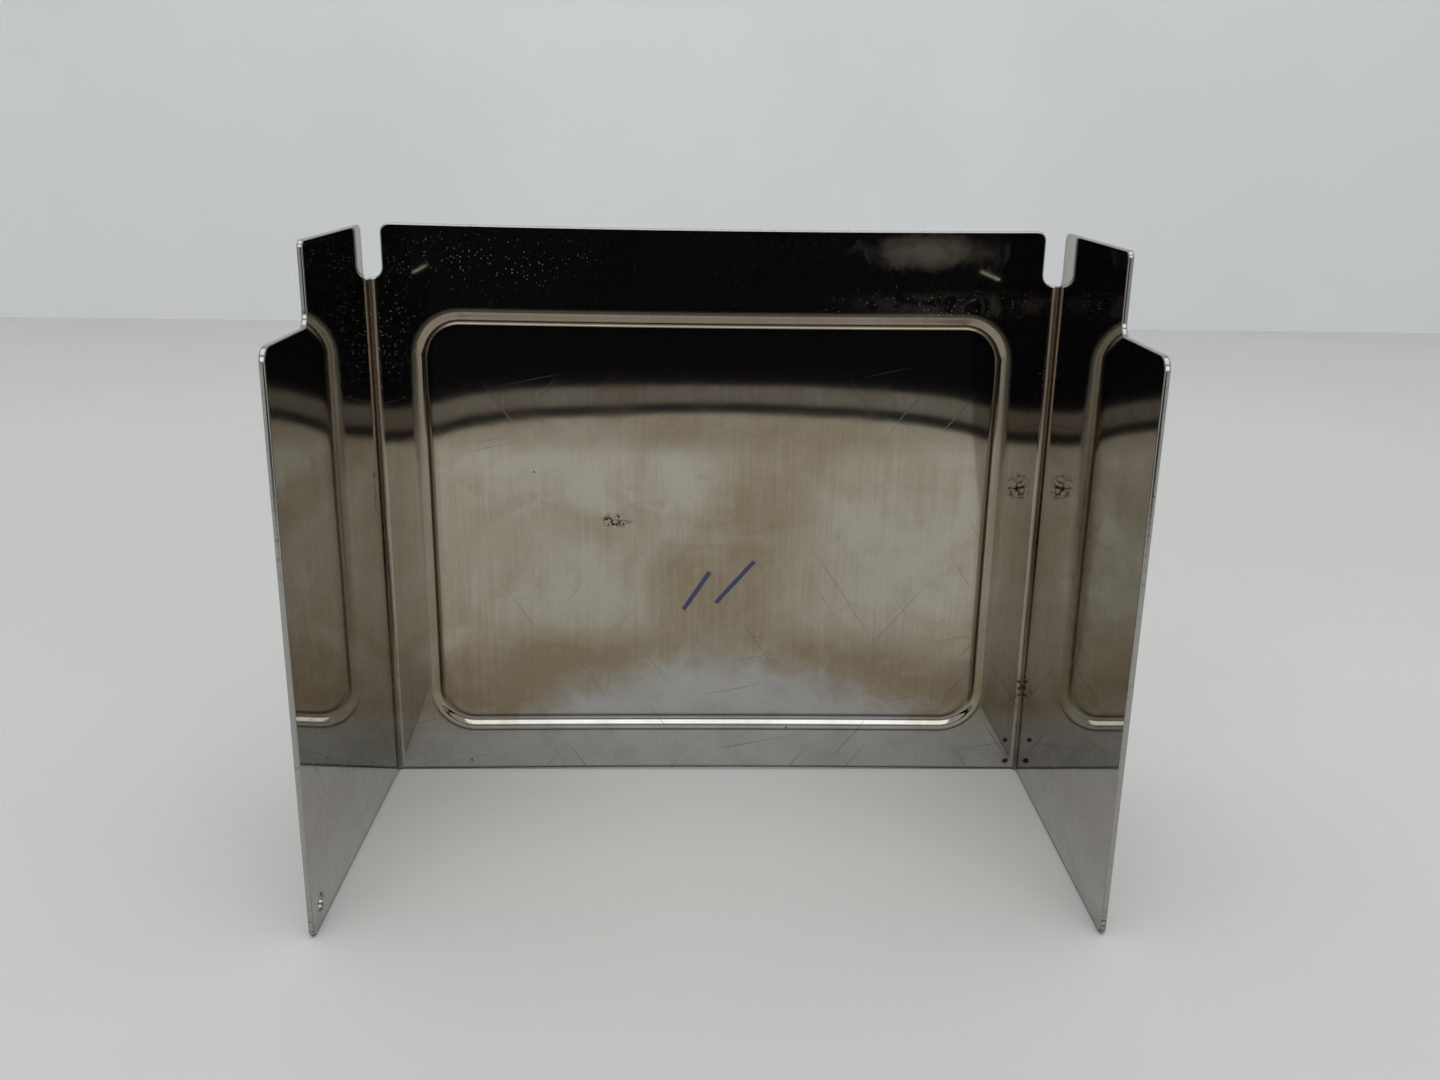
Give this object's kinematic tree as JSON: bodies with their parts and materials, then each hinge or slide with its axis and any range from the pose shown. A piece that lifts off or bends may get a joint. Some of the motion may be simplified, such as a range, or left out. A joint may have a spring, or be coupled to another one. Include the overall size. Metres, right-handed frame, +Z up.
{
  "type": "folded sheet metal cover",
  "caption": "Three-sided chromed sheet steel guard with a pressed field in its back panel, notched folds and stepped side panels, open at the front.",
  "frame": {"origin": "middle of the footprint, on the surface that the sheet stands on", "axes": "+X to the right along the back panel as seen from the open side, +Y from the open side to the back panel, +Z up"},
  "size_m": [0.1906, 0.0894, 0.1592],
  "materials": {
    "chromed_sheet": "polished chrome, lightly tarnished and scratched"
  },
  "bodies": {
    "root": {"cover_sheet": "chromed_sheet"}
  },
  "joints": []
}
